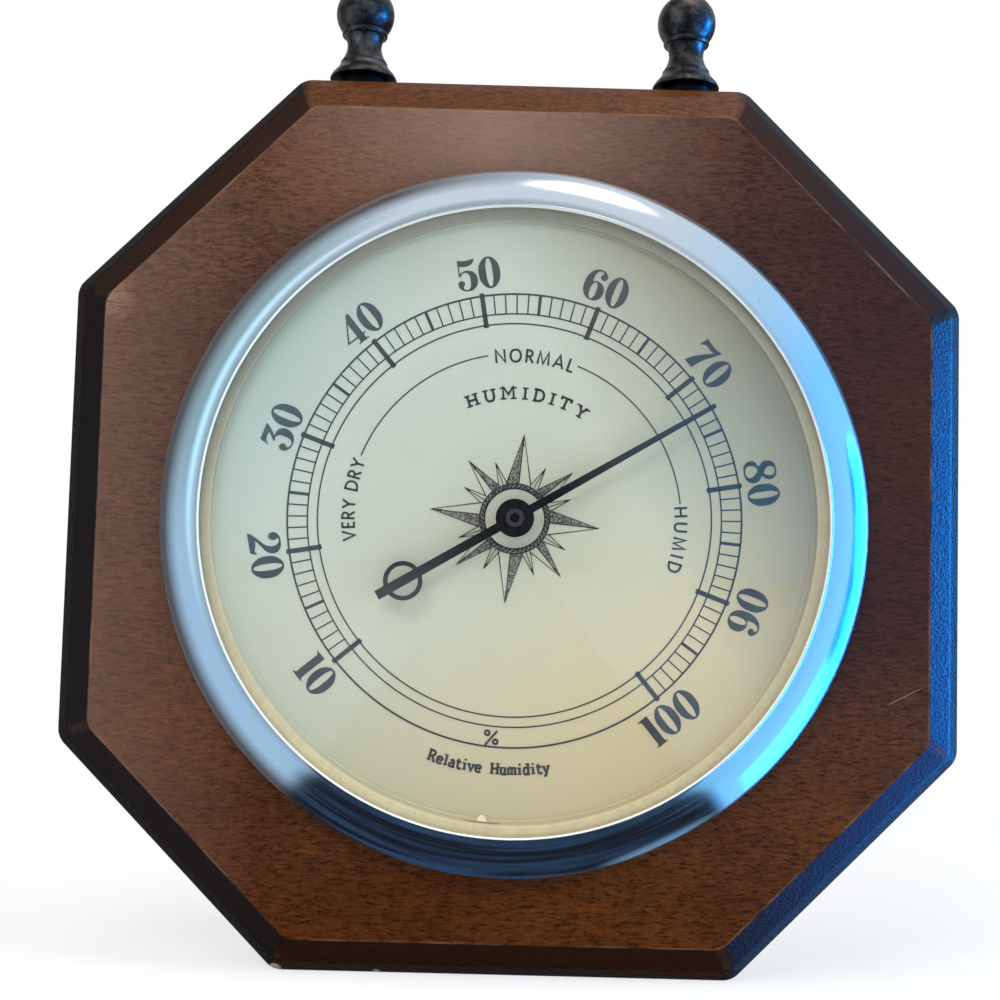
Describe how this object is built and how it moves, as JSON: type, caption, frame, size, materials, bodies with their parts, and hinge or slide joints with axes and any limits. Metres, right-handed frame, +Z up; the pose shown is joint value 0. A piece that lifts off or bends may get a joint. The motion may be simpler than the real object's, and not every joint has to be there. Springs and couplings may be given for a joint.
{
  "type": "weather station",
  "caption": "Octagonal wooden wall plaque with a domed round humidity dial, a black pointer, a polished bezel and turned metal posts on top.",
  "frame": {"origin": "on the dial's axis, at the plaque's back face where it meets the wall", "axes": "+Z up, the dial faces -Y, +X to the viewer's right"},
  "size_m": [0.148, 0.0312, 0.1666],
  "materials": {
    "walnut": "satin lacquer over stained walnut",
    "post_black": "antique black, rubbed on the high spots",
    "plated_brass": "thin brass plate",
    "bezel_chrome": "polished, lightly hazed",
    "lens_clear": "clear moulded dome",
    "gasket_tan": "plain",
    "dial_cream": "satin cream with printed scale",
    "fibre_brown": "plain",
    "case_steel": "zinc plated",
    "strap_steel": "plain",
    "screw_steel": "plain",
    "bush_brass": "turned",
    "clip_steel": "blued spring steel",
    "coil_ribbon": "coated ribbon",
    "hand_black": "semi-gloss black"
  },
  "bodies": {
    "plaque": {"plaque": "walnut", "post_left": "post_black", "post_right": "post_black", "post_studs": "screw_steel", "hanger": "plated_brass", "hanger_nails": "plated_brass"},
    "instrument": {"bezel": "bezel_chrome", "lens": "lens_clear", "lens_gasket": "gasket_tan", "dial": "dial_cream", "spacer_ring": "fibre_brown", "case_cup": "case_steel", "bridge": "strap_steel", "bridge_screws": "screw_steel", "front_bush": "bush_brass", "rear_bush": "bush_brass", "spring_clips": "clip_steel", "clip_rivets": "screw_steel"},
    "adjuster": {"setting_spindle": "bush_brass", "setting_arm": "strap_steel", "anchor_post": "bush_brass", "humidity_coil": "coil_ribbon"},
    "pointer": {"arbor": "screw_steel", "coil_collet": "bush_brass", "end_collar": "bush_brass", "hub_bush": "hand_black", "hand": "hand_black"}
  },
  "joints": [
    {"name": "instrument_turn", "type": "hinge", "parent": "plaque", "child": "instrument", "pos_m": [0, -0.01, 0], "axis": [0, 1, 0], "continuous": true},
    {"name": "reading_set", "type": "hinge", "parent": "instrument", "child": "adjuster", "pos_m": [0, -0.003, 0], "axis": [0, 1, 0], "range_deg": [-20, 20]},
    {"name": "pointer_turn", "type": "hinge", "parent": "adjuster", "child": "pointer", "pos_m": [0, -0.0244, 0], "axis": [0, 1, 0], "range_deg": [-189, 81], "stiffness_Nm_per_rad": 0.0005, "deforming": ["humidity_coil"]}
  ]
}
